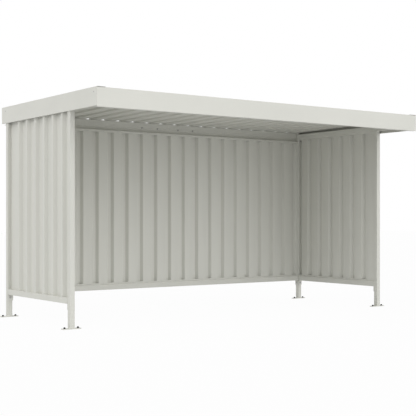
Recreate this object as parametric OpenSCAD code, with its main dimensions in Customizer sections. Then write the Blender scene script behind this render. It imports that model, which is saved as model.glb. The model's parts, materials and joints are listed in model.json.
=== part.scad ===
// Three-sided storage shelter: a bolted steel frame on raised base plates, walls of upright
// trapezoidal sheet between rails, and a ribbed roof that falls to the rear behind a deep fascia.
// The origin is on the ground at the middle of the whole outline, +X to the right, +Y to the rear.

/* [Frame] */
// Width over the outer faces of the posts
frame_w = 4350; // [3600:10:5400]
// Depth over the outer faces of the posts
frame_d = 1556; // [1200:2:2400]
// Height of the roof sheet's underside at the rear faces of the rear posts
eaves_z = 2288; // [1900:2:2900]
// Drop of the roof from the front faces of the posts to the rear ones
roof_fall = 20; // [10:1:70]
// Side of the square post tube
post_s = 55; // [50:1:70]
// Wall thickness of the post tube
post_wall = 3; // [2:0.5:5]
// Outer corner radius of the post tube
post_r = 6; // [3:0.5:10]

/* [Base plates] */
// Length of a base plate, along the width of the shelter
plate_l = 200; // [190:1:260]
// Width of a base plate, along the depth of the shelter
plate_w = 60; // [56:1:120]
// Thickness of a base plate
plate_t = 8; // [5:1:15]
// Corner radius of a base plate
plate_r = 5; // [2:0.5:12]
// Distance between the two anchor holes of a base plate
anchor_spacing = 150; // [110:1:165]
// Radius of an anchor hole
anchor_r = 7; // [4:0.5:9]

/* [Wall rails] */
// Height of the undersides of the bottom rails
rail_z = 250; // [150:1:600]
// Height of a rail tube
rail_h = 62; // [40:1:90]
// Wall thickness of a rail tube
rail_wall = 2; // [1.5:0.5:4]
// Outer corner radius of a rail tube
rail_r = 3; // [2:0.5:6]
// Height of the angle that stops the sheets on a rail
stop_h = 21; // [10:1:40]
// Thickness of the sheet-stop and capping angles
stop_t = 2; // [1:0.5:4]
// Depth of the side walls' top rails below the roof at the rear posts
side_rail_drop = 22; // [4:1:60]
// Height of the capping angle on top of the rear wall
cap_h = 27; // [15:1:60]
// Thickness of the end plates that are welded to a rail
end_t = 8; // [4:1:12]
// Width of an end plate
end_w = 52; // [44:1:54]
// Length of an end plate below its rail
end_drop = 74; // [55:1:140]
// Depth of the bolt hole in an end plate below its rail
end_bolt_drop = 32; // [20:1:40]
// Radius of the bolt hole in an end plate
end_bolt_r = 6.5; // [4:0.5:8]
// Radius of the vent hole from a rail's tube through its end plate
vent_r = 5; // [3:0.5:8]

/* [Trapezoidal sheet] */
// Distance from rib to rib
rib_pitch = 207; // [160:1:260]
// Height of a rib
rib_h = 35; // [20:1:42]
// Width of the flat crest of a rib
rib_crest = 40; // [24:1:60]
// Width of one sloping side of a rib
rib_web = 24; // [8:1:36]
// Thickness of the sheet
sheet_t = 0.75; // [0.5:0.05:1.25]
// Place of the first side lap in the rear wall and the roof, as a share of the ribs
first_lap_share = 0.14; // [0.1:0.01:0.2]
// Distance from one side lap to the next, as a share of the ribs
lap_step_share = 0.23; // [0.18:0.01:0.24]
// Place of the side lap in a side wall, as a share of the ribs
side_lap_share = 0.75; // [0.4:0.01:0.9]
// Depth of the wall sheets' crests behind the outer faces of the posts
wall_inset = 5; // [4:0.5:8]
// Middle of the rear wall's first rib from the left post
rear_first_rib = 32; // [0:1:90]
// Middle of the left wall's first rib from the front post
left_first_rib = 142; // [50:1:200]
// Least distance of the left wall's last rib from the rear post
left_last_rib = 100; // [60:1:200]
// Middle of the right wall's first rib from the rear post
right_first_rib = 12; // [0:1:90]
// Shift of the roof's ribs to the right of the shelter's middle
roof_rib_shift = 19; // [-60:1:60]

/* [Roof beams] */
// Height of the front beam
front_beam_h = 50; // [30:1:80]
// Wall thickness of the front beam
front_beam_wall = 2.5; // [1.5:0.5:4]
// Height of the rear beam
rear_beam_h = 130; // [100:1:160]
// Thickness of the rear beam's folded sheet
rear_beam_t = 2.5; // [1.5:0.5:3]
// Width of the rear beam's flanges, behind the rear posts
rear_beam_flange = 45; // [30:1:50]
// Lap of the rear beam over the top of the rear wall
cap_lap = 9.5; // [4:0.5:20]
// Length of the splice plate in the rear beam
splice_l = 860; // [400:5:1400]
// Height of the splice plate
splice_h = 70; // [30:1:90]
// Thickness of the splice plate
splice_t = 4; // [2:0.5:8]

/* [Fascia] */
// Reach of the roof in front of the front posts
front_overhang = 579; // [200:1:900]
// Reach of the roof behind the rear posts
rear_overhang = 74; // [60:1:200]
// Distance of the side fascias' outer faces outside the posts
side_overhang = 16; // [8:1:40]
// Thickness of the fascia sheet
fascia_t = 1.5; // [1:0.25:3]
// Inner radius of the folds in the fascia and the rear beam
fold_r = 2; // [1:0.25:4]
// Depth of the side fascias' lower edges below the eaves
side_drop = 114; // [40:1:200]
// Height of the side fascias' upper edges above the roof's front edge
side_upstand = 5.5; // [4:0.5:40]
// Depth of the front fascia's lower edge below the eaves
front_drop = 124; // [40:1:200]
// Height of the front fascia's upper edge above the roof's front edge
front_upstand = 1; // [0.5:0.5:40]
// Width of the side fascias' upper flanges
side_flange = 100; // [60:1:140]
// Depth of the notch in the front fascia's upper edge under each of those flanges
corner_notch = 8; // [5:0.5:20]
// Width of the front fascia's upper flange
front_top_flange = 25; // [10:1:60]
// Width of the front fascia's lower flange
front_low_flange = 45; // [10:1:80]
// Width of the side fascias' returns behind the front fascia
front_return = 100; // [40:1:200]
// Depth of those returns' upper edges below the side fascias' upper edges
return_drop = 20; // [12:1:60]
// Width of the side fascias' returns at the rear
rear_return = 20; // [10:1:40]

/* [Hidden] */
$fn = 32;

// Paint of the frame, the sheets and the fascia
frame_paint = [0.82, 0.82, 0.79];
sheet_paint = [0.8, 0.8, 0.77];
fascia_paint = [0.85, 0.85, 0.82];

// Small gap between pieces that are seated on each other
seat = 0.2;
// Gap between the cut edge of a sheet and the piece beside it
edge_gap = 0.5;
// Gap between the ends of the roof sheets and the fascia
roof_end_gap = 3;
// Gap between the two halves of the rear beam
beam_joint = 1;
// Distance by which the lower sheet of a lap stops short of the crest's edge
lap_short = 1;
// Overrun of cuts through a piece
over = 1;
// Inner corner radius of a tube as a share of its outer one
inner_radius_share = 0.5;
// Sheets in the rear wall, and in the roof
sheet_count = 5;

left = -1;
right = 1;
front = -1;
rear = 1;

// The frame's front and rear faces, with the outline centred on the origin
front_y = (front_overhang - frame_d - rear_overhang) / 2;
rear_y = front_y + frame_d;
front_edge_y = front_y - front_overhang;
rear_edge_y = rear_y + rear_overhang;
half_w = frame_w / 2;
clear_w = frame_w - 2 * post_s;
clear_d = frame_d - 2 * post_s;

// The roof sheet's underside is a plane that falls to the rear
roof_tilt = atan(roof_fall / frame_d);
function roof_z(y) = eaves_z + (rear_y - y) * tan(roof_tilt);
front_top_z = roof_z(front_y + post_s);
roof_front_y = front_edge_y + front_top_flange + roof_end_gap;
roof_rear_y = rear_edge_y - fascia_t - roof_end_gap;
roof_half_w = half_w + side_overhang - fascia_t - edge_gap;

// Rib geometry: the mitre keeps the sheet's thickness the same on flats and sloping sides
rib_angle = atan(rib_h / rib_web);
mitre = sheet_t * tan(rib_angle / 2);
lap_rise = sheet_t + seat;
roof_crest_z = roof_z(roof_front_y) + seat + rib_h + sheet_t + lap_rise;

// Places across a wall, measured outward from the inner faces of the posts
wall_flat = post_s - wall_inset - rib_h - sheet_t;
stop_back = wall_flat - seat;
stop_face = stop_back - stop_t;

// Heights of the walls
sheet_low_z = rail_z + rail_h + seat;
side_rail_top_z = eaves_z - side_rail_drop;
side_rail_z = side_rail_top_z - rail_h;
side_sheet_top_z = side_rail_z - seat;
rear_beam_y = rear_y + seat;
rear_beam_top_z = roof_z(rear_beam_y + rear_beam_flange);
cap_top_z = rear_beam_top_z - rear_beam_h + cap_lap;
rear_sheet_top_z = cap_top_z - stop_t - seat;

// Heights of the fascia
side_low_z = eaves_z - side_drop;
side_top_z = roof_crest_z + side_upstand;
front_low_z = eaves_z - front_drop;
front_fascia_top_z = roof_crest_z + front_upstand;

// Ribs in a run of sheet, and the rib at which its numbered lap lies
function rib_count(run, first_rib) = floor((run - first_rib) / rib_pitch) + 1;
function lap_rib(count, lap) = floor(count * (first_lap_share + (lap - 1) * lap_step_share));
rear_ribs = rib_count(clear_w, rear_first_rib);
left_ribs = rib_count(clear_d - left_last_rib, left_first_rib);
right_ribs = rib_count(clear_d, right_first_rib);
roof_ribs = floor(2 * roof_half_w / rib_pitch) + 1;
roof_first_rib = roof_rib_shift - (roof_ribs - 1) / 2 * rib_pitch;

// Square with rounded corners, with its lower left corner at the origin
module rounded_rectangle(w, h, r) {
    translate([r, 0])
        square([w - 2 * r, h]);
    translate([0, r])
        square([w, h - 2 * r]);
    for (x = [r, w - r], y = [r, h - r])
        translate([x, y])
            circle(r);
}

module tube_section(w, h, wall, r) {
    difference() {
        rounded_rectangle(w, h, r);
        translate([wall, wall])
            rounded_rectangle(w - 2 * wall, h - 2 * wall, r * inner_radius_share);
    }
}

// Extrusion along +X of a section drawn with its width along Y and its height along Z
module along_x(length) {
    rotate([90, 0, 90])
        linear_extrude(length)
            children();
}

// A wall's own frame: x along it from its first post, y outward from the posts' inner faces
module rear_wall() {
    translate([-half_w + post_s, rear_y - post_s, 0])
        children();
}

module left_wall() {
    translate([-half_w + post_s, front_y + post_s, 0])
        rotate([0, 0, 90])
            children();
}

module right_wall() {
    translate([half_w - post_s, rear_y - post_s, 0])
        rotate([0, 0, -90])
            children();
}

// Middle of a post in plan
module at_post(side, row) {
    translate([side * (frame_w - post_s) / 2, (front_y + rear_y) / 2 + row * (frame_d - post_s) / 2, 0])
        children();
}

module post(side, row) {
    top_z = row == front ? front_top_z : eaves_z;
    color(frame_paint)
        at_post(side, row)
            translate([-post_s / 2, -post_s / 2, plate_t])
                linear_extrude(top_z - plate_t)
                    tube_section(post_s, post_s, post_wall, post_r);
}

module base_plate(side, row) {
    color(frame_paint)
        at_post(side, row)
            difference() {
                translate([-plate_l / 2, -plate_w / 2, 0])
                    linear_extrude(plate_t)
                        rounded_rectangle(plate_l, plate_w, plate_r);
                for (x = [-anchor_spacing / 2, anchor_spacing / 2])
                    translate([x, 0, -over])
                        cylinder(h = plate_t + 2 * over, r = anchor_r);
            }
}

// Rail tube with the sheet-stop angle that stands on it
module rail_section() {
    tube_section(post_s, rail_h, rail_wall, rail_r);
    translate([rail_r, rail_h - rail_wall])
        square([stop_back - rail_r, rail_wall + stop_t]);
    translate([stop_face, rail_h - rail_wall])
        square([stop_t, rail_wall + stop_h]);
}

// Outline of an end plate with a round lower end, widened by a margin, its rail's underside at 0
module end_plate_outline(margin) {
    radius = end_w / 2 + margin;
    translate([post_s / 2, end_w / 2 - end_drop]) {
        circle(radius);
        translate([-radius, 0])
            square([2 * radius, rail_h + end_drop - end_w / 2 + margin]);
    }
}

module end_plate() {
    along_x(end_t)
        difference() {
            end_plate_outline(0);
            translate([post_s / 2, -end_bolt_drop])
                circle(end_bolt_r);
            translate([post_s / 2, rail_h / 2])
                circle(vent_r);
        }
}

// Welded rail between two posts: the children are its section, and the ends of its tube lie in the plates
module rail(clear, low_z) {
    color(frame_paint)
        translate([0, 0, low_z]) {
            translate([end_t / 2, 0, 0])
                along_x(clear - end_t)
                    children();
            for (x = [0, clear - end_t])
                translate([x, 0, 0])
                    end_plate();
        }
}

module bottom_rail(clear) {
    rail(clear, rail_z)
        rail_section();
}

module side_top_rail() {
    rail(clear_d, side_rail_z)
        translate([0, rail_h])
            mirror([0, 1])
                rail_section();
}

// Angle that caps the rear wall's sheets
module rear_top_rail() {
    color(frame_paint)
        translate([0, 0, cap_top_z])
            along_x(clear_w) {
                translate([stop_face, -cap_h])
                    square([stop_t, cap_h]);
                translate([stop_face, -stop_t])
                    square([post_s - stop_face, stop_t]);
            }
}

// One surface of a rib with its middle at c. A rib that laps over its neighbour starts on a raised
// crest, and one that lies under its neighbour stops short of the far edge of its crest.
function rib_surface(c, shift, rise, laps_over, lies_under) =
    let (half = rib_crest / 2, crest = rise + rib_h + (laps_over ? lap_rise : 0))
    concat(
        laps_over
            ? [[c - half, crest]]
            : [[c - half - rib_web - shift, rise], [c - half - shift, crest]],
        lies_under
            ? [[c + half - lap_short, crest]]
            : [[c + half + shift, crest], [c + half + rib_web + shift, rise]]
    );

// One surface of a sheet, which goes on flat to end_x unless its last rib lies under a neighbour
function sheet_surface(first_rib, from, to, end_x, shift, rise, laps_over, lies_under) =
    concat(
        [
            for (i = [from:to])
                each rib_surface(
                    first_rib + i * rib_pitch, shift, rise,
                    laps_over && i == from, lies_under && i == to
                )
        ],
        lies_under ? [] : [[end_x, rise]]
    );

function reversed(points) = [for (i = [len(points) - 1:-1:0]) points[i]];

// Section of a trapezoidal sheet from one rib to another, ribs towards +Y
module sheet_section(first_rib, from, to, end_x, laps_over, lies_under) {
    inner = sheet_surface(first_rib, from, to, end_x, 0, 0, laps_over, lies_under);
    outer = sheet_surface(first_rib, from, to, end_x, mitre, sheet_t, laps_over, lies_under);
    polygon(concat(inner, reversed(outer)));
}

// Section of one numbered sheet of a run, trimmed to the ends of the run
module trimmed_section(first_rib, from, to, laps_over, lies_under, low_x, high_x) {
    last_foot = first_rib + to * rib_pitch + rib_crest / 2 + rib_web + mitre;
    intersection() {
        sheet_section(first_rib, from, to, max(high_x, last_foot) + over, laps_over, lies_under);
        translate([low_x, -over])
            square([high_x - low_x, rib_h + sheet_t + lap_rise + 2 * over]);
    }
}

// The first and last sheets of a run go on past the ends by one rib before they are trimmed
module run_section(first_rib, count, index, low_x, high_x) {
    from = index == 1 ? -1 : lap_rib(count, index - 1);
    to = index == sheet_count ? count : lap_rib(count, index);
    trimmed_section(first_rib, from, to, index > 1, index < sheet_count, low_x, high_x);
}

module rear_wall_sheet(index) {
    color(sheet_paint)
        translate([0, wall_flat, sheet_low_z])
            linear_extrude(rear_sheet_top_z - sheet_low_z)
                run_section(rear_first_rib, rear_ribs, index, edge_gap, clear_w - edge_gap);
}

// A side wall's second sheet ends flat at the far post, and the upper corners of both are cut out round
// the end plates of the top rail
module side_wall_sheet(index, first_rib, count) {
    lap = floor(count * side_lap_share);
    from = index == 1 ? -1 : lap;
    to = index == 1 ? lap : count - 1;
    notch_l = end_t + edge_gap + over;
    color(sheet_paint)
        difference() {
            translate([0, wall_flat, sheet_low_z])
                linear_extrude(side_sheet_top_z - sheet_low_z)
                    trimmed_section(
                        first_rib, from, to, index == 2, index == 1, edge_gap, clear_d - edge_gap
                    );
            for (x = [-over, clear_d + over - notch_l])
                translate([x, 0, side_rail_z])
                    along_x(notch_l)
                        end_plate_outline(seat);
        }
}

module roof_sheet(index) {
    color(sheet_paint)
        translate([0, roof_rear_y, roof_z(roof_rear_y) + seat])
            rotate([90 - roof_tilt, 0, 0])
                linear_extrude((roof_rear_y - roof_front_y) / cos(roof_tilt))
                    run_section(roof_first_rib, roof_ribs, index, -roof_half_w, roof_half_w);
}

module front_beam() {
    color(frame_paint)
        translate([-clear_w / 2, front_y, front_top_z - front_beam_h])
            along_x(clear_w)
                tube_section(post_s, front_beam_h, front_beam_wall, rail_r);
}

// Round fold from -X to -Y about the origin, in sheet of thickness t
module fold(t) {
    intersection() {
        difference() {
            circle(fold_r + t);
            circle(fold_r);
        }
        translate([-fold_r - t, -fold_r - t])
            square(fold_r + t);
    }
}

// Section of a folded channel: its web stands on the Y axis, and its two flanges reach towards +X
module folded_channel(web, low_flange, high_flange, t) {
    outer_r = fold_r + t;
    translate([0, outer_r])
        square([t, web - 2 * outer_r]);
    translate([outer_r, 0])
        square([low_flange - outer_r, t]);
    translate([outer_r, web - t])
        square([high_flange - outer_r, t]);
    translate([outer_r, outer_r])
        fold(t);
    translate([outer_r, web - outer_r])
        mirror([0, 1])
            fold(t);
}

// The rear beam lies behind the rear posts, and its lower part laps over the top of the rear wall
module rear_beam(side) {
    length = half_w - edge_gap - beam_joint / 2;
    low_x = side == left ? edge_gap - half_w : beam_joint / 2;
    color(frame_paint)
        translate([low_x, rear_beam_y, rear_beam_top_z - rear_beam_h])
            along_x(length)
                folded_channel(rear_beam_h, rear_beam_flange, rear_beam_flange, rear_beam_t);
}

module rear_beam_splice_plate() {
    color(frame_paint)
        translate([-splice_l / 2, rear_beam_y + rear_beam_t, rear_beam_top_z - (rear_beam_h + splice_h) / 2])
            cube([splice_l, splice_t, splice_h]);
}

// Arm in front of a front post, up to the return of the side fascia
module roof_arm(side) {
    color(frame_paint)
        translate([side * (frame_w - post_s) / 2, front_y, side_rail_z])
            rotate([90, 0, 0])
                linear_extrude(front_overhang - 2 * fascia_t)
                    translate([-post_s / 2, 0])
                        tube_section(post_s, rail_h, rail_wall, rail_r);
}

// Plate across the end of a side fascia, cut back at the round folds of its channel
module fascia_return(width, height) {
    outer_r = fold_r + fascia_t;
    translate([0, 0, outer_r])
        cube([width, fascia_t, height - 2 * outer_r]);
    translate([outer_r, 0, 0])
        cube([width - outer_r, fascia_t, height]);
}

// Folded side fascia with its lower flange against the posts, drawn for the left side
module side_fascia() {
    height = side_top_z - side_low_z;
    web_y = front_edge_y + fascia_t;
    translate([0, rear_edge_y, side_low_z])
        rotate([90, 0, 0])
            linear_extrude(rear_edge_y - web_y)
                folded_channel(height, side_overhang, side_flange, fascia_t);
    translate([0, web_y, side_low_z])
        fascia_return(front_return, height - return_drop);
    translate([0, rear_edge_y - fascia_t, side_low_z])
        fascia_return(rear_return, height);
}

module left_fascia() {
    color(fascia_paint)
        translate([-half_w - side_overhang, 0, 0])
            side_fascia();
}

module right_fascia() {
    color(fascia_paint)
        mirror([1, 0, 0])
            translate([-half_w - side_overhang, 0, 0])
                side_fascia();
}

// Folded front fascia, with its upper edge notched under the side fascias' flanges
module front_fascia() {
    length = frame_w + 2 * side_overhang;
    height = front_fascia_top_z - front_low_z;
    cut_l = side_flange + roof_end_gap;
    color(fascia_paint)
        translate([-length / 2, front_edge_y, front_low_z])
            difference() {
                along_x(length)
                    folded_channel(height, front_low_flange, front_top_flange, fascia_t);
                for (x = [-over, length - cut_l])
                    translate([x, -over, height - corner_notch])
                        cube([cut_l + over, front_top_flange + 2 * over, corner_notch + over]);
            }
}

post(left, front);  // post_front_left
post(right, front);  // post_front_right
post(left, rear);  // post_rear_left
post(right, rear);  // post_rear_right
base_plate(left, front);  // base_plate_front_left
base_plate(right, front);  // base_plate_front_right
base_plate(left, rear);  // base_plate_rear_left
base_plate(right, rear);  // base_plate_rear_right
left_wall() bottom_rail(clear_d);  // left_bottom_rail
rear_wall() bottom_rail(clear_w);  // rear_bottom_rail
right_wall() bottom_rail(clear_d);  // right_bottom_rail
left_wall() side_top_rail();  // left_top_rail
rear_wall() rear_top_rail();
right_wall() side_top_rail();  // right_top_rail
rear_wall() rear_wall_sheet(1);  // rear_wall_sheet_1
rear_wall() rear_wall_sheet(2);  // rear_wall_sheet_2
rear_wall() rear_wall_sheet(3);  // rear_wall_sheet_3
rear_wall() rear_wall_sheet(4);  // rear_wall_sheet_4
rear_wall() rear_wall_sheet(5);  // rear_wall_sheet_5
left_wall() side_wall_sheet(1, left_first_rib, left_ribs);  // left_wall_sheet_1
left_wall() side_wall_sheet(2, left_first_rib, left_ribs);  // left_wall_sheet_2
right_wall() side_wall_sheet(1, right_first_rib, right_ribs);  // right_wall_sheet_1
right_wall() side_wall_sheet(2, right_first_rib, right_ribs);  // right_wall_sheet_2
roof_sheet(1);  // roof_sheet_1
roof_sheet(2);  // roof_sheet_2
roof_sheet(3);  // roof_sheet_3
roof_sheet(4);  // roof_sheet_4
roof_sheet(5);  // roof_sheet_5
front_beam();
rear_beam(left);  // rear_beam_left
rear_beam(right);  // rear_beam_right
rear_beam_splice_plate();
roof_arm(left);  // left_roof_arm
roof_arm(right);  // right_roof_arm
left_fascia();
right_fascia();
front_fascia();
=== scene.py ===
"""Looks of the three-sided storage shelter: paint, fasteners, weld beads, light and camera.

Lengths are in metres, in the frame of the CAD model: +X to the right, +Y to the rear wall, +Z up.
"""

import json
import math

import bmesh
import bpy
from mathutils import Matrix, Vector


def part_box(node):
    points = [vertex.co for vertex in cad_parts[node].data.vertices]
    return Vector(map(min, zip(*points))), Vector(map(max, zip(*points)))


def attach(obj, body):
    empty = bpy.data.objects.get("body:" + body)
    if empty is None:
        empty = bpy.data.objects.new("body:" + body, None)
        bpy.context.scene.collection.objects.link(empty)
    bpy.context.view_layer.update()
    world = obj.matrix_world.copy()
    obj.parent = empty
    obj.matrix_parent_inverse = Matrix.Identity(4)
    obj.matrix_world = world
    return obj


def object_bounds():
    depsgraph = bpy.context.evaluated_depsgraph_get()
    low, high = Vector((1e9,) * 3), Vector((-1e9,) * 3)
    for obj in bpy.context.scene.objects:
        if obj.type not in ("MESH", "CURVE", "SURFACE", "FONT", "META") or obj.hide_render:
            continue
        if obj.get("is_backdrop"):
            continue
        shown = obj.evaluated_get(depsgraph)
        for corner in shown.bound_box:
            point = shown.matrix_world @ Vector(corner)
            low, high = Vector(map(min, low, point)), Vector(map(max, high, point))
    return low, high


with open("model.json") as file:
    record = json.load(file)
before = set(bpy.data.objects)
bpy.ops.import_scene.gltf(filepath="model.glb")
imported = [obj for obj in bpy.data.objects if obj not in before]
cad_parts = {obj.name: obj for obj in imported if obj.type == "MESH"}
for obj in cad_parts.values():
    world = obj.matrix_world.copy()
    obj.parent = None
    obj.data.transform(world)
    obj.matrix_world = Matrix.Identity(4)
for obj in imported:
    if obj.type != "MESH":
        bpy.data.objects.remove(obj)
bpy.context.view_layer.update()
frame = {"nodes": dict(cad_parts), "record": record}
record = frame["record"]
scene = bpy.context.scene

# Camera, from the photograph's perspective
CAMERA_PLACE = (-6.5937, -9.0645, 1.1011)
CAMERA_LEVEL_DEG = 90.0
CAMERA_HEADING_DEG = -35.563
CAMERA_LENS_MM = 82.814
CAMERA_SENSOR_MM = 36.0
CAMERA_SHIFT_Y = 0.02601

# Light: a dome with soft white lobes, each with its direction from the shelter and its strength
DOME_LOBES = {
    "front": ((0, -1, 0.1), 0.73),
    "front_right": ((0.75, -0.66, 0.1), 1.76),
    "left": ((-1, 0.1, 0.1), 1.20),
    "left_high": ((-0.64, 0, 0.77), 1.25),
    "front_high": ((0, -0.64, 0.77), 0.84),
}
DOME_LOBE_POWER = 4
WHITE = (1, 1, 1, 1)
WHITE_STRENGTH = 1.0
FLOOR_HALF = 60.0
FLOOR_ALBEDO = 0.63
FLOOR_GLOW_SHARE = 0.35
FLOOR_WHITE_SHARE = 0.97

# Colours, as linear values
FRAME_COLOUR = (0.66, 0.66, 0.61)
SHEET_COLOUR = (0.66, 0.66, 0.61)
# The fascia has the same paint as the frame and sheets; its lighter colour is painted light, for
# the fuller light the fascia catches at the top
FASCIA_LIT_COLOUR = (0.69, 0.69, 0.64)
BLACK_STEEL_COLOUR = (0.005, 0.005, 0.005)
ZINC_COLOUR = (0.45, 0.45, 0.44)
ALUMINIUM_COLOUR = (0.55, 0.55, 0.56)
RUBBER_COLOUR = (0.03, 0.03, 0.032)
SPECULAR_LEVEL = 0.2

# Patterns in the materials: a stretch below 1 draws one out along the sheets' rolling direction
EVEN = (1, 1, 1)
UPRIGHT = (4, 4, 0.35)
FORE_AND_AFT = (4, 0.35, 4)
NOISE_LOW, NOISE_HIGH = 0.3, 0.7
DRIFT_SCALE, DRIFT_DETAIL, DRIFT_SHARE = 2.3, 4, 0.018
CLOUD_SCALE, CLOUD_DETAIL = 7, 3
WAVE_SCALE, WAVE_DETAIL, WAVE_STRENGTH = 3.5, 1, 0.35
PEEL_DETAIL, PEEL_STRENGTH, PEEL_DEPTH = 2, 0.18, 0.0001
GRAIN_SCALE, GRAIN_DETAIL, GRAIN_STRETCH = 900, 3, (1, 1, 0.15)
GRAIN_STRENGTH, GRAIN_DEPTH = 0.25, 0.00008

# Sockets of a colour Mix node, which share their names with those of its other types
MIX_FACTOR, MIX_FIRST, MIX_SECOND, MIX_RESULT = 0, 6, 7, 2

# Sheet profile and frame, as in the CAD model
RIB_PITCH = 0.207
RIB_H = 0.035
SHEET_T = 0.00075
LAP_RISE = 0.00095
STOP_T = 0.002
SEAT = 0.0002
POST_R = 0.006
END_PLATE_T = 0.008
FASCIA_T = 0.0015
CORNER_NOTCH = 0.008

# Walls, as in the CAD model: outward direction, direction along the wall, first rib, step from rib
# to rib, number of ribs, and the ribs on which the sheets lap
WALLS = {
    "rear": ((0, 1, 0), (1, 0, 0), -2.088, RIB_PITCH, 21, (2, 7, 12, 17)),
    "left": ((-1, 0, 0), (0, 1, 0), -0.3285, RIB_PITCH, 6, (4,)),
    "right": ((1, 0, 0), (0, 1, 0), 0.9635, -RIB_PITCH, 7, (5,)),
}

# Roof, as in the CAD model
ROOF_FLATS = 21
ROOF_LAPS = (3, 8, 13, 18)
ROOF_MIDDLE_X = 0.019
ROOF_FIRST_RIB_X = ROOF_MIDDLE_X - ROOF_FLATS / 2 * RIB_PITCH
ROOF_FALL, ROOF_RUN = 0.020, 1.556
ROOF_SLOPE = ROOF_FALL / ROOF_RUN
EAVES_Y = 1.0305
EAVES_Z = 2.288

# Places of the fasteners
MM_PER_M = 1000
END_BOLT_RISE = 0.042
SPLICE_BOLT_X = (-0.380, -0.154, 0.154, 0.380)
LOW_RIVET_RISE = 0.011
TOP_RIVET_DROP = 0.014
LAP_RIVETS = 5
LAP_RIVET_MARGIN = 0.14
FASCIA_RIVET_DROP = 0.048
FASCIA_FRONT_INSET = 0.063
FASCIA_REAR_INSET = 0.096
ROOF_SCREW_Y = (-0.498, 1.053)
LAP_SCREW_Y = (-0.95, -0.25, 0.25, 0.75)

# Strips in the notches at the upper corners of the front fascia
CORNER_STRIP_L = 0.103
CORNER_STRIP_H = 0.0062

# Bolts: the washer's edge and a hexagon's round face are shares of its thickness and of its flats
WASHER_T = 0.0025
WASHER_EDGE_SHARE = 0.2
HEX_SIDES = 6
HEX_SIDE_POINTS = 4
HEX_FACE_SHARE = 0.95
CHAMFER_SLOPE = math.tan(math.radians(30))
ANCHOR_WASHER_R = 0.0125
ANCHOR_NUT_FLATS = 0.019
ANCHOR_NUT_H = 0.0100
STUD_R = 0.006
STUD_FOOT = 0.0005
THREAD_PITCH = 0.00175
THREAD_DEPTH = 0.0007
THREAD_FLANK_SHARE = 0.4
END_BOLT = {
    "flats": 0.018, "head_h": 0.0075, "washer_r": 0.012, "shank_r": 0.006, "shank_l": END_PLATE_T,
}
SPLICE_BOLT = {"flats": 0.016, "head_h": 0.0064, "washer_r": 0.0105}

# Rivets and screws, as pairs of radius and height
RIVET_HEAD = (
    (0.0068, 0), (0.0070, 0.0004), (0.0062, 0.0010), (0.0045, 0.0015), (0.0022, 0.0018),
    (0.0014, 0.0017), (0.0012, 0.0012),
)
RIVET_BULB = (
    (0.0012, -0.0055), (0.0026, -0.0050), (0.0034, -0.0035), (0.0036, -0.0015), (0.0032, 0),
)
SCREW_SEAL = ((0.0078, 0), (0.0082, 0.0008), (0.0078, 0.0016))
SCREW_WASHER = ((0.0076, 0.0016), (0.0077, 0.0022), (0.0062, 0.0030), (0.0055, 0.0038))
SCREW_FLATS = 0.008
SCREW_HEAD_LOW, SCREW_HEAD_HIGH = 0.0036, 0.0085

# Weld bead at the foot of a post: its rounded face is two points at shares of its leg
BEAD_LEG = 0.0045
BEAD_FACE_FAR, BEAD_FACE_NEAR = 0.72, 0.38
BEAD_PERIOD = 0.003
BEAD_STEP = 0.00075
BEAD_RIPPLE = 0.12
BEAD_SINK = 0.0003
CORNER_STEPS = 10

# Meshes
ROUND_SEGMENTS = 20
SHARP_ANGLE = math.radians(32)


def add_node(tree, kind, inputs=None, **settings):
    """A shader node with its settings, and with a value or a link for each input named."""
    made = tree.nodes.new(kind)
    for key, value in settings.items():
        setattr(made, key, value)
    for key, value in (inputs or {}).items():
        if isinstance(value, bpy.types.NodeSocket):
            tree.links.new(value, made.inputs[key])
        else:
            made.inputs[key].default_value = value
    return made


def add_math(tree, operation, first, second):
    """The result of a Math node on two values or links."""
    return add_node(tree, "ShaderNodeMath", {0: first, 1: second}, operation=operation).outputs[0]


def new_material(name, roughness, metallic):
    """A material with a plain Principled shader, and its tree, shader and object coordinates."""
    material = bpy.data.materials.new(name)
    material.use_nodes = True
    tree = material.node_tree
    shader = tree.nodes["Principled BSDF"]
    shader.inputs["Roughness"].default_value = roughness
    shader.inputs["Metallic"].default_value = metallic
    shader.inputs["Specular IOR Level"].default_value = SPECULAR_LEVEL
    place = tree.nodes.new("ShaderNodeTexCoord").outputs["Object"]
    return material, tree, shader, place


def spread(tree, value, low, high):
    """A noise value as a number from low to high."""
    made = add_node(tree, "ShaderNodeMapRange", {
        "Value": value, "From Min": NOISE_LOW, "From Max": NOISE_HIGH,
        "To Min": low, "To Max": high,
    })
    return made.outputs["Result"]


def noise(tree, place, scale, detail, stretch=EVEN):
    """Noise in the object's own coordinates, drawn out along an axis whose stretch is below 1."""
    mapped = add_node(tree, "ShaderNodeMapping", {"Vector": place, "Scale": stretch})
    made = add_node(tree, "ShaderNodeTexNoise", {
        "Vector": mapped.outputs["Vector"], "Scale": scale, "Detail": detail,
    })
    return made.outputs["Fac"]


def tinted(tree, shader, colour, factor, share):
    """Base colour that drifts by a share below and above the colour."""
    dark, light = (tuple(part * (1 + turn * share) for part in colour) + (1,) for turn in (-1, 1))
    made = add_node(tree, "ShaderNodeMix", {
        MIX_FACTOR: factor, MIX_FIRST: dark, MIX_SECOND: light,
    }, data_type="RGBA")
    tree.links.new(made.outputs[MIX_RESULT], shader.inputs["Base Color"])


def bumped(tree, shader, heights):
    """Normal from several heights, each with its strength and its depth in metres."""
    normal = None
    for height, strength, depth in heights:
        inputs = {"Height": height, "Strength": strength, "Distance": depth}
        if normal:
            inputs["Normal"] = normal
        normal = add_node(tree, "ShaderNodeBump", inputs).outputs["Normal"]
    tree.links.new(normal, shader.inputs["Normal"])


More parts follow.
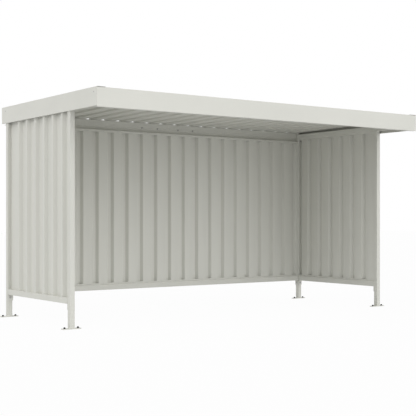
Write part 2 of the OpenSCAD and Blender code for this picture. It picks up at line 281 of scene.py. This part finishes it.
def paint(name, colour, gloss, stretch, peel_scale, wave_depth):
    """Satin paint on steel: a drift of tone, uneven gloss, the coat's texture and slow waves."""
    material, tree, shader, place = new_material(name, gloss[0], 0)
    drift = noise(tree, place, DRIFT_SCALE, DRIFT_DETAIL, stretch)
    cloud = noise(tree, place, CLOUD_SCALE, CLOUD_DETAIL)
    peel = noise(tree, place, peel_scale, PEEL_DETAIL)
    wave = noise(tree, place, WAVE_SCALE, WAVE_DETAIL, stretch)
    tinted(tree, shader, colour, spread(tree, drift, 0, 1), DRIFT_SHARE)
    tree.links.new(spread(tree, cloud, *gloss), shader.inputs["Roughness"])
    bumped(tree, shader, [(wave, WAVE_STRENGTH, wave_depth), (peel, PEEL_STRENGTH, PEEL_DEPTH)])
    return material


def metal(name, colour, gloss, metallic, spangle_scale, spangle_share):
    """Bare or plated metal, or rubber, with fine spangle, uneven gloss and small scratches."""
    material, tree, shader, place = new_material(name, gloss[0], metallic)
    spangle = add_node(tree, "ShaderNodeTexVoronoi", {"Vector": place, "Scale": spangle_scale})
    grain = noise(tree, place, GRAIN_SCALE, GRAIN_DETAIL, GRAIN_STRETCH)
    tinted(tree, shader, colour, spangle.outputs["Distance"], spangle_share)
    tree.links.new(spread(tree, grain, *gloss), shader.inputs["Roughness"])
    bumped(tree, shader, [(grain, GRAIN_STRENGTH, GRAIN_DEPTH)])
    return material


def add_rings(bm, rings, place, material=0, closed=False):
    """Skin through rings of points: closed into a loop, or with a cap on both end rings."""
    loops = [[bm.verts.new(place @ Vector(point)) for point in ring] for ring in rings]
    faces = []
    for low, high in zip(loops, loops[1:] + loops[:1] if closed else loops[1:]):
        for i in range(len(low)):
            j = (i + 1) % len(low)
            faces.append(bm.faces.new((low[i], low[j], high[j], high[i])))
    if not closed:
        faces.append(bm.faces.new(loops[0][::-1]))
        faces.append(bm.faces.new(loops[-1]))
    for face in faces:
        face.material_index = material


def add_turned(bm, profile, place, material=0):
    """Body turned about Z from pairs of radius and height, with flat ends."""
    turns = [2 * math.pi * i / ROUND_SEGMENTS for i in range(ROUND_SEGMENTS)]
    rings = [[(r * math.cos(a), r * math.sin(a), z) for a in turns] for r, z in profile]
    add_rings(bm, rings, place, material)


def add_hexagon(bm, flats, low, high, place):
    """Hexagon with its upper corners cut by a cone, as on a nut or a bolt head."""
    count = HEX_SIDES * HEX_SIDE_POINTS
    face_r = flats / 2 * HEX_FACE_SHARE
    foot, edge, face = [], [], []
    for i in range(count):
        turn = 2 * math.pi * i / count
        off_face = turn % (2 * math.pi / HEX_SIDES) - math.pi / HEX_SIDES
        radius = flats / 2 / math.cos(off_face)
        x, y = math.cos(turn), math.sin(turn)
        foot.append((radius * x, radius * y, low))
        edge.append((radius * x, radius * y, high - (radius - face_r) * CHAMFER_SLOPE))
        face.append((face_r * x, face_r * y, high))
    add_rings(bm, [foot, edge, face], place)


def add_washer(bm, radius, place):
    """Washer with small chamfers."""
    edge = WASHER_T * WASHER_EDGE_SHARE
    add_turned(bm, [
        (radius - edge, 0), (radius, edge), (radius, WASHER_T - edge), (radius - edge, WASHER_T),
    ], place)


def add_anchor(bm, place, plate_t):
    """Stud through the plate, with a washer, a nut and the stud's threaded end above it."""
    nut_top = WASHER_T + ANCHOR_NUT_H
    core_r = STUD_R - THREAD_DEPTH
    flank = THREAD_FLANK_SHARE * THREAD_PITCH
    add_washer(bm, ANCHOR_WASHER_R, place)
    add_hexagon(bm, ANCHOR_NUT_FLATS, WASHER_T, nut_top, place)
    add_turned(bm, [
        (core_r, STUD_FOOT - plate_t), (core_r, nut_top),
        (STUD_R, nut_top + flank), (STUD_R, nut_top + THREAD_PITCH - flank),
        (core_r, nut_top + THREAD_PITCH), (core_r - THREAD_DEPTH, nut_top + THREAD_PITCH + flank),
    ], place)


def add_hex_bolt(bm, place, flats, head_h, washer_r, shank_r=0.0, shank_l=0.0):
    """Hexagon bolt with a washer, and its shank down through the hole where it has one."""
    add_washer(bm, washer_r, place)
    add_hexagon(bm, flats, WASHER_T, WASHER_T + head_h, place)
    if shank_l:
        add_turned(bm, [(shank_r, -shank_l), (shank_r, WASHER_T)], place)


def add_rivet(bm, place, grip=0.0):
    """Blind rivet: a domed head with the broken pin's pit, and past the grip the bare bulb."""
    add_turned(bm, RIVET_HEAD, place)
    if grip:
        add_turned(bm, [(r, z - grip) for r, z in RIVET_BULB], place, material=1)


def add_roof_screw(bm, place):
    """Self-drilling screw: a rubber seal, a painted washer and a hexagon head."""
    add_turned(bm, SCREW_SEAL, place, material=1)
    add_turned(bm, SCREW_WASHER, place)
    add_hexagon(bm, SCREW_FLATS, SCREW_HEAD_LOW, SCREW_HEAD_HIGH, place)


def facing(point, outward):
    """Frame at a point with +Z along the outward direction."""
    turned = Vector(outward).to_track_quat("Z", "Y").to_matrix().to_4x4()
    return Matrix.Translation(point) @ turned


def add_piece(name, bm, materials):
    """A finished piece from a mesh in the model's frame, which rides on the shelter."""
    bmesh.ops.recalc_face_normals(bm, faces=bm.faces)
    mesh = bpy.data.meshes.new(name)
    bm.to_mesh(mesh)
    bm.free()
    mesh.shade_smooth()
    mesh.set_sharp_from_angle(angle=SHARP_ANGLE)
    for material in materials:
        mesh.materials.append(material)
    made = bpy.data.objects.new(name, mesh)
    scene.collection.objects.link(made)
    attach(made, "root")


# Materials: for paint the gloss, stretch, peel scale and wave depth, and for metal the gloss, the
# metallic share, and the spangle's scale and share
frame_paint = paint("frame_paint", FRAME_COLOUR, (0.38, 0.48), EVEN, 700, 0.0002)
wall_paint = paint("wall_sheet_paint", SHEET_COLOUR, (0.36, 0.46), UPRIGHT, 1100, 0.0006)
roof_paint = paint("roof_sheet_paint", SHEET_COLOUR, (0.36, 0.46), FORE_AND_AFT, 1100, 0.0006)
# Fascia paint: the frame and sheet paint made lighter, as painted light on the fascia
fascia_paint = paint("fascia_paint", FASCIA_LIT_COLOUR, (0.38, 0.46), EVEN, 700, 0.0003)
black_steel = metal("black_steel", BLACK_STEEL_COLOUR, (0.5, 0.65), 0, 500, 0.3)
zinc = metal("zinc_plate", ZINC_COLOUR, (0.4, 0.55), 0.3, 420, 0.12)
aluminium = metal("rivet_aluminium", ALUMINIUM_COLOUR, (0.3, 0.45), 0.9, 650, 0.08)
rubber = metal("seal_rubber", RUBBER_COLOUR, (0.7, 0.85), 0, 800, 0.2)

slot_of = {part["node"]: part["material_slot"] for part in record["subparts"]}
paint_of = {"frame_paint": frame_paint, "sheet_paint": wall_paint, "fascia_paint": fascia_paint}
for node_name, shown in frame["nodes"].items():
    on_top = node_name.startswith("roof_sheet")
    shown.data.materials.clear()
    shown.data.materials.append(roof_paint if on_top else paint_of[slot_of[node_name]])

# Anchor bolts in the base plates
for mount in record["mounts"]:
    if mount["kind"] != "bolt_pattern":
        continue
    corner = mount["name"].removeprefix("anchors_")
    plate_low, plate_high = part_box("base_plate_" + corner)
    half_spacing = mount["dims"]["spacing_x_mm"] / MM_PER_M / 2
    x, y, _ = mount["pos_m"]
    bm = bmesh.new()
    for bolt_x in (x - half_spacing, x + half_spacing):
        place = facing((bolt_x, y, plate_high.z), (0, 0, 1))
        add_anchor(bm, place, plate_high.z - plate_low.z)
    add_piece("anchor_bolts_" + corner, bm, [black_steel])


def post_outline(low, high):
    """Points and outward directions round a post's rounded outline, at even steps."""
    corners = [(high.x, high.y), (low.x, high.y), (low.x, low.y), (high.x, low.y)]
    raw = []
    for index, (x, y) in enumerate(corners):
        inward_x = POST_R if x == low.x else -POST_R
        inward_y = POST_R if y == low.y else -POST_R
        for step in range(CORNER_STEPS + 1):
            turn = math.pi / 2 * (index + step / CORNER_STEPS)
            out = Vector((math.cos(turn), math.sin(turn), 0))
            raw.append((Vector((x + inward_x, y + inward_y, 0)) + POST_R * out, out))
    path = []
    for (start, start_out), (end, end_out) in zip(raw, raw[1:] + raw[:1]):
        steps = max(1, round((end - start).length / BEAD_STEP))
        for step in range(steps):
            share = step / steps
            path.append((start.lerp(end, share), start_out.lerp(end_out, share).normalized()))
    return path


def add_foot_weld(corner):
    """Fillet weld with ripples between a post and its base plate."""
    low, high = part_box("post_" + corner)
    path = post_outline(low, high)
    ripples = round(len(path) * BEAD_STEP / BEAD_PERIOD)
    rings = []
    for index, (point, out) in enumerate(path):
        swell = 1 + BEAD_RIPPLE * math.sin(2 * math.pi * ripples * index / len(path))
        section = [
            (-BEAD_SINK, -BEAD_SINK), (BEAD_LEG * swell, -BEAD_SINK),
            (BEAD_FACE_FAR * BEAD_LEG * swell, BEAD_FACE_NEAR * BEAD_LEG),
            (BEAD_FACE_NEAR * BEAD_LEG, BEAD_FACE_FAR * BEAD_LEG * swell),
            (-BEAD_SINK, BEAD_LEG * swell),
        ]
        rings.append([
            point + across * out + Vector((0, 0, low.z + up)) for across, up in section
        ])
    bm = bmesh.new()
    add_rings(bm, rings, Matrix.Identity(4), closed=True)
    add_piece("foot_weld_" + corner, bm, [frame_paint])


for corner in ("front_left", "front_right", "rear_left", "rear_right"):
    add_foot_weld(corner)

# Bolts that hold the rails' end plates to the posts
for side in ("left", "right"):
    bm = bmesh.new()
    for rail in (side + "_bottom_rail", side + "_top_rail"):
        low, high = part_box(rail)
        x = (low.x + high.x) / 2
        z = low.z + END_BOLT_RISE
        add_hex_bolt(bm, facing((x, low.y + END_PLATE_T, z), (0, 1, 0)), **END_BOLT)
        add_hex_bolt(bm, facing((x, high.y - END_PLATE_T, z), (0, -1, 0)), **END_BOLT)
    add_piece("rail_bolts_" + side, bm, [zinc])

low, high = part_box("rear_bottom_rail")
y = (low.y + high.y) / 2
z = low.z + END_BOLT_RISE
bm = bmesh.new()
add_hex_bolt(bm, facing((low.x + END_PLATE_T, y, z), (1, 0, 0)), **END_BOLT)
add_hex_bolt(bm, facing((high.x - END_PLATE_T, y, z), (-1, 0, 0)), **END_BOLT)
add_piece("rail_bolts_rear", bm, [zinc])

# Bolts through the rear beam into its splice plate
splice_low, splice_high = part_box("rear_beam_splice_plate")
beam_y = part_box("rear_beam_left")[0].y
bm = bmesh.new()
for x in SPLICE_BOLT_X:
    place = facing((x, beam_y, (splice_low.z + splice_high.z) / 2), (0, -1, 0))
    add_hex_bolt(bm, place, **SPLICE_BOLT)
add_piece("beam_splice_bolts", bm, [zinc])


def add_wall_rivets(wall, outward, along, first_rib, step, ribs, laps):
    """Rivets through a wall's flats at both ends of its sheets, and through its laps' crests."""
    low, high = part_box(wall + "_wall_sheet_1")
    lap_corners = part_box(wall + "_wall_sheet_2")
    outward, along = Vector(outward), Vector(along)
    flat_out = min(abs(outward.dot(corner)) for corner in (low, high)) + SHEET_T
    crest_out = max(abs(outward.dot(corner)) for corner in lap_corners)
    lap_low, lap_high = low.z + LAP_RIVET_MARGIN, high.z - LAP_RIVET_MARGIN
    lap_heights = [
        lap_low + (lap_high - lap_low) * index / (LAP_RIVETS - 1) for index in range(LAP_RIVETS)
    ]
    bm = bmesh.new()
    for index in range(ribs - 1):
        on_flat = (first_rib + (index + 0.5) * step) * along + flat_out * outward
        for z in (low.z + LOW_RIVET_RISE, high.z - TOP_RIVET_DROP):
            add_rivet(bm, facing((*on_flat.xy, z), outward), SHEET_T + STOP_T + SEAT)
    for lap in laps:
        on_crest = (first_rib + lap * step) * along + crest_out * outward
        for z in lap_heights:
            add_rivet(bm, facing((*on_crest.xy, z), outward), SHEET_T + LAP_RISE)
    add_piece(wall + "_wall_rivets", bm, [wall_paint, aluminium])


for wall, layout in WALLS.items():
    add_wall_rivets(wall, *layout)

# Roof screws on the flats over the two beams, and along the side laps
roof_up = Vector((0, ROOF_SLOPE, 1)).normalized()


def on_roof(ribs, y, height):
    """Frame on the roof, some ribs past the first, at a height above the underside of its flats."""
    x = ROOF_FIRST_RIB_X + ribs * RIB_PITCH
    base = Vector((x, y, EAVES_Z + (EAVES_Y - y) * ROOF_SLOPE))
    return facing(base + height * roof_up, roof_up)


bm = bmesh.new()
for index in range(ROOF_FLATS):
    for y in ROOF_SCREW_Y:
        add_roof_screw(bm, on_roof(index + 0.5, y, SEAT + SHEET_T))
for lap in ROOF_LAPS:
    for y in LAP_SCREW_Y:
        add_roof_screw(bm, on_roof(lap, y, SEAT + RIB_H + SHEET_T + LAP_RISE))
add_piece("roof_screws", bm, [roof_paint, rubber])

# Rivets at the ends of the side fascias
for side, turn in (("left", -1), ("right", 1)):
    low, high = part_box(side + "_fascia")
    x = low.x if turn < 0 else high.x
    bm = bmesh.new()
    for y in (low.y + FASCIA_FRONT_INSET, high.y - FASCIA_REAR_INSET):
        add_rivet(bm, facing((x, y, high.z - FASCIA_RIVET_DROP), (turn, 0, 0)))
    add_piece(side + "_fascia_rivets", bm, [zinc])

# Strips that close the notches at the upper corners of the front fascia up to a narrow slot
low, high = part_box("front_fascia")
notch_z = high.z - CORNER_NOTCH
rear_y = low.y + FASCIA_T
bm = bmesh.new()
for start_x in (low.x, high.x - CORNER_STRIP_L):
    end_x = start_x + CORNER_STRIP_L
    outline = [(start_x, low.y), (end_x, low.y), (end_x, rear_y), (start_x, rear_y)]
    levels = (notch_z, notch_z + CORNER_STRIP_H)
    add_rings(bm, [[(*point, z) for point in outline] for z in levels], Matrix.Identity(4))
add_piece("fascia_corner_strips", bm, [fascia_paint])


def seen_directly(tree):
    """1 for a ray from the camera, a reflection or a transmission, and 0 for light."""
    rays = tree.nodes.new("ShaderNodeLightPath").outputs
    first = add_math(tree, "MAXIMUM", rays["Is Camera Ray"], rays["Is Glossy Ray"])
    return add_math(tree, "MAXIMUM", first, rays["Is Transmission Ray"])


# Floor: a pale plane with a low glow of its own, which is nearly white where it is seen and keeps
# the shelter's shadow
floor_mesh = bpy.data.meshes.new("floor")
floor_mesh.from_pydata([
    (-FLOOR_HALF, -FLOOR_HALF, 0), (FLOOR_HALF, -FLOOR_HALF, 0),
    (FLOOR_HALF, FLOOR_HALF, 0), (-FLOOR_HALF, FLOOR_HALF, 0),
], [], [(0, 1, 2, 3)])
floor = bpy.data.objects.new("floor", floor_mesh)
scene.collection.objects.link(floor)
floor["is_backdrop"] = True
floor_material = bpy.data.materials.new("floor_white")
floor_material.use_nodes = True
tree = floor_material.node_tree
tree.nodes.remove(tree.nodes["Principled BSDF"])
matt = add_node(tree, "ShaderNodeBsdfDiffuse", {
    "Color": (FLOOR_ALBEDO, FLOOR_ALBEDO, FLOOR_ALBEDO, 1),
})
glow = add_node(tree, "ShaderNodeEmission", {"Color": WHITE, "Strength": WHITE_STRENGTH})
share = add_node(tree, "ShaderNodeMapRange", {
    "Value": seen_directly(tree), "To Min": FLOOR_GLOW_SHARE, "To Max": FLOOR_WHITE_SHARE,
})
mixed = add_node(tree, "ShaderNodeMixShader", {
    0: share.outputs["Result"], 1: matt.outputs[0], 2: glow.outputs[0],
})
tree.links.new(mixed.outputs[0], tree.nodes["Material Output"].inputs["Surface"])
floor_mesh.materials.append(floor_material)


def lobe_level(tree, direction, middle, strength):
    """Light that is strongest towards the middle direction and falls off softly to its sides."""
    turned = add_node(tree, "ShaderNodeVectorMath", {
        0: direction, 1: Vector(middle).normalized(),
    }, operation="DOT_PRODUCT")
    ahead = add_math(tree, "MAXIMUM", turned.outputs["Value"], 0.0)
    soft = add_math(tree, "POWER", ahead, DOME_LOBE_POWER)
    return add_math(tree, "MULTIPLY", soft, strength)


# Dome: white where it is seen, and the sum of the lobes where it lights the shelter
world = bpy.data.worlds.new("dome")
scene.world = world
world.use_nodes = True
tree = world.node_tree
tree.nodes.clear()
direction = tree.nodes.new("ShaderNodeTexCoord").outputs["Generated"]
level = None
for middle, strength in DOME_LOBES.values():
    lobe = lobe_level(tree, direction, middle, strength)
    level = add_math(tree, "ADD", level, lobe) if level else lobe
light = add_node(tree, "ShaderNodeBackground", {"Color": WHITE, "Strength": level})
white = add_node(tree, "ShaderNodeBackground", {"Color": WHITE, "Strength": WHITE_STRENGTH})
mixed = add_node(tree, "ShaderNodeMixShader", {
    0: seen_directly(tree), 1: light.outputs[0], 2: white.outputs[0],
})
output = tree.nodes.new("ShaderNodeOutputWorld")
tree.links.new(mixed.outputs[0], output.inputs["Surface"])

camera_data = bpy.data.cameras.new("camera")
camera_data.lens = CAMERA_LENS_MM
camera_data.sensor_width = CAMERA_SENSOR_MM
camera_data.shift_y = CAMERA_SHIFT_Y
camera = bpy.data.objects.new("camera", camera_data)
camera.location = CAMERA_PLACE
camera.rotation_euler = (math.radians(CAMERA_LEVEL_DEG), 0, math.radians(CAMERA_HEADING_DEG))
scene.collection.objects.link(camera)
scene.camera = camera
scene.view_settings.view_transform = "Standard"

low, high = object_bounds()
